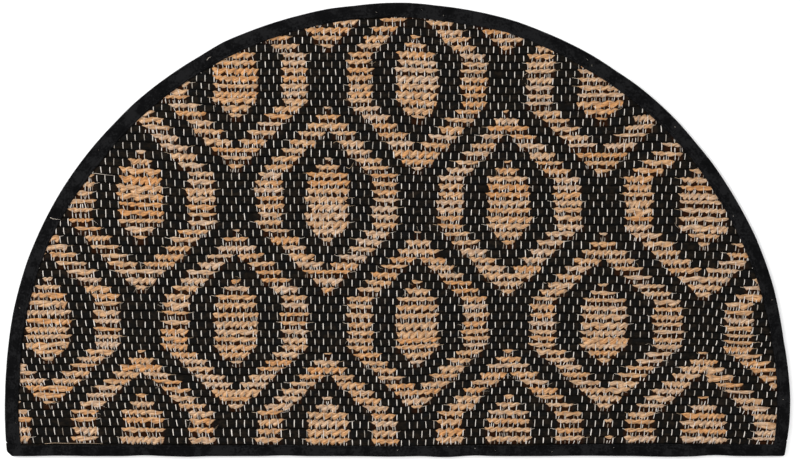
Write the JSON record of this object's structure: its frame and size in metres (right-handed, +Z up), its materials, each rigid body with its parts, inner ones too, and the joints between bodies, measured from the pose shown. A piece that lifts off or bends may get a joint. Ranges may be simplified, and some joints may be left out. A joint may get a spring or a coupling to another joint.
{
  "type": "half-moon chindi rag rug",
  "caption": "Flat half-moon mat of black rag weft and jute floats in a diamond repeat, with black cotton tape folded over its edge.",
  "frame": {"origin": "on the floor under the middle of the mat's bounding box", "axes": "+X along the straight edge, +Y from the straight edge toward the round edge, +Z up out of the face"},
  "size_m": [0.7007, 0.4061, 0.006],
  "materials": {
    "cloth": "coarse matt weave of black cotton rag and natural jute",
    "tape": "matt black cotton tape"
  },
  "bodies": {
    "root": {"woven_field": "cloth", "arc_binding": "tape", "straight_binding": "tape"}
  },
  "joints": []
}
